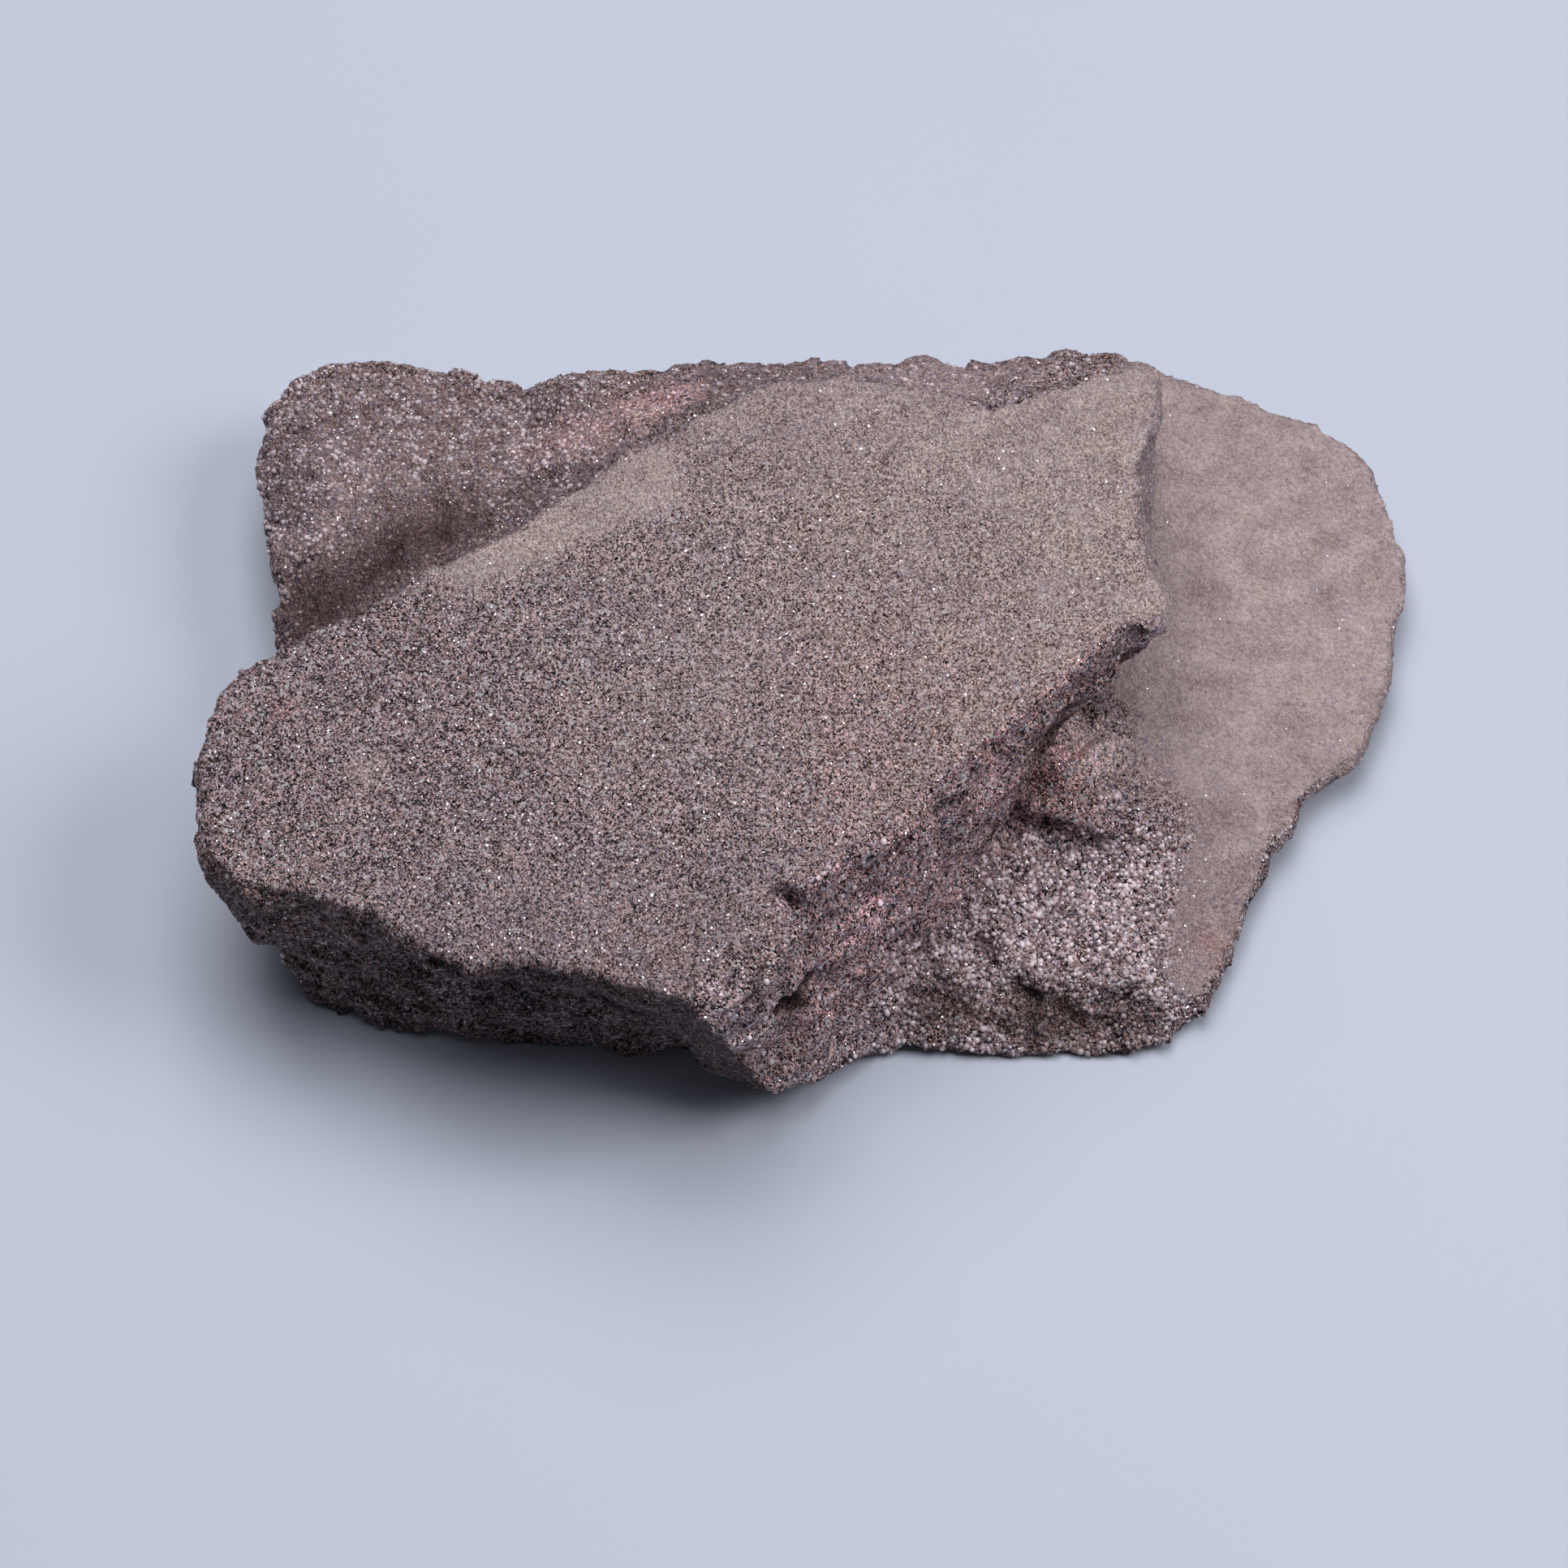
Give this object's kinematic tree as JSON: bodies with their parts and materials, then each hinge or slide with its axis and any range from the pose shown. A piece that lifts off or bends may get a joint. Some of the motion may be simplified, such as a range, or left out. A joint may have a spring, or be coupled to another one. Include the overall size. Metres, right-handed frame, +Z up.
{
  "type": "rock specimen",
  "caption": "Rough hand specimen of fine-grained purple-brown layered rock: a thick flat-topped bed on a thin lower bed that shows as a smooth ledge and a rough wing.",
  "frame": {"origin": "middle of the bounding box along X and Y, on the plane the stone rests on", "axes": "+X along the longest side, towards the smooth ledge; -Y towards the pointed nose; +Z up, out of the flat bedding plane"},
  "size_m": [0.0834, 0.0646, 0.0228],
  "materials": {
    "rock": "matte"
  },
  "bodies": {
    "root": {"rock": "rock"}
  },
  "joints": []
}
